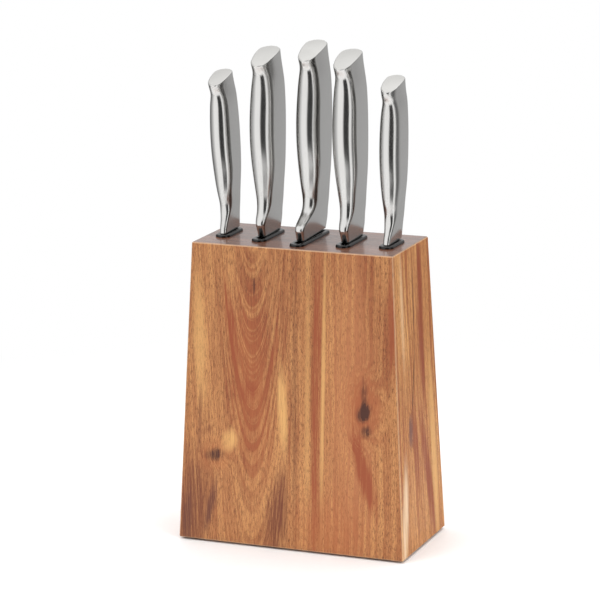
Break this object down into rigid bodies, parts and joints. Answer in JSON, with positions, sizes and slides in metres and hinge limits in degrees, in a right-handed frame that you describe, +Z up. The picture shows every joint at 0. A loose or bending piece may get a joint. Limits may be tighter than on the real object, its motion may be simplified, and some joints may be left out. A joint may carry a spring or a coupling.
{
  "type": "knife block with knives",
  "caption": "Tapered upright wooden knife block holding a row of kitchen knives with curved one-piece-look steel handles that lift out of lined slots.",
  "frame": {"origin": "on the table under the middle of the block", "axes": "+Z up, the front of the block faces -Y, the row of knives runs along X from the utility knife on the left to the paring knife on the right"},
  "size_m": [0.1732, 0.0906, 0.3618],
  "materials": {
    "side_wood": "satin",
    "top_wood": "satin",
    "slot_plastic": "gloss",
    "foot_rubber": "matte",
    "blade_steel": "fine ground",
    "handle_steel": "satin"
  },
  "bodies": {
    "block": {"front_board_left": "side_wood", "front_board_right": "side_wood", "side_board_right": "side_wood", "back_board_right": "side_wood", "back_board_left": "side_wood", "side_board_left": "side_wood", "top_panel": "top_wood", "base_panel": "side_wood", "foot_front_left": "foot_rubber", "foot_front_right": "foot_rubber", "foot_back_left": "foot_rubber", "foot_back_right": "foot_rubber", "liner_utility": "slot_plastic", "liner_bread": "slot_plastic", "liner_cook": "slot_plastic", "liner_carving": "slot_plastic", "liner_paring": "slot_plastic"},
    "utility_knife": {"utility_blade": "blade_steel", "utility_bolster": "handle_steel", "utility_butt_cap": "handle_steel", "utility_shell_left": "handle_steel", "utility_shell_right": "handle_steel"},
    "bread_knife": {"bread_blade": "blade_steel", "bread_bolster": "handle_steel", "bread_butt_cap": "handle_steel", "bread_shell_left": "handle_steel", "bread_shell_right": "handle_steel"},
    "cook_knife": {"cook_blade": "blade_steel", "cook_bolster": "handle_steel", "cook_butt_cap": "handle_steel", "cook_shell_left": "handle_steel", "cook_shell_right": "handle_steel"},
    "carving_knife": {"carving_blade": "blade_steel", "carving_bolster": "handle_steel", "carving_butt_cap": "handle_steel", "carving_shell_left": "handle_steel", "carving_shell_right": "handle_steel"},
    "paring_knife": {"paring_blade": "blade_steel", "paring_bolster": "handle_steel", "paring_butt_cap": "handle_steel", "paring_shell_left": "handle_steel", "paring_shell_right": "handle_steel"}
  },
  "joints": [
    {"name": "utility_lift", "type": "slide", "parent": "block", "child": "utility_knife", "axis": [-0.0314, -0.0174, 0.9994], "range_m": [0, 0.145]},
    {"name": "bread_lift", "type": "slide", "parent": "block", "child": "bread_knife", "axis": [0.0105, -0.0175, 0.9998], "range_m": [0, 0.215]},
    {"name": "cook_lift", "type": "slide", "parent": "block", "child": "cook_knife", "axis": [0.0227, -0.0349, 0.9991], "range_m": [0, 0.215]},
    {"name": "carving_lift", "type": "slide", "parent": "block", "child": "carving_knife", "axis": [0, -0.0175, 0.9998], "range_m": [0, 0.215]},
    {"name": "paring_lift", "type": "slide", "parent": "block", "child": "paring_knife", "axis": [0.0227, -0.0174, 0.9996], "range_m": [0, 0.105]}
  ]
}
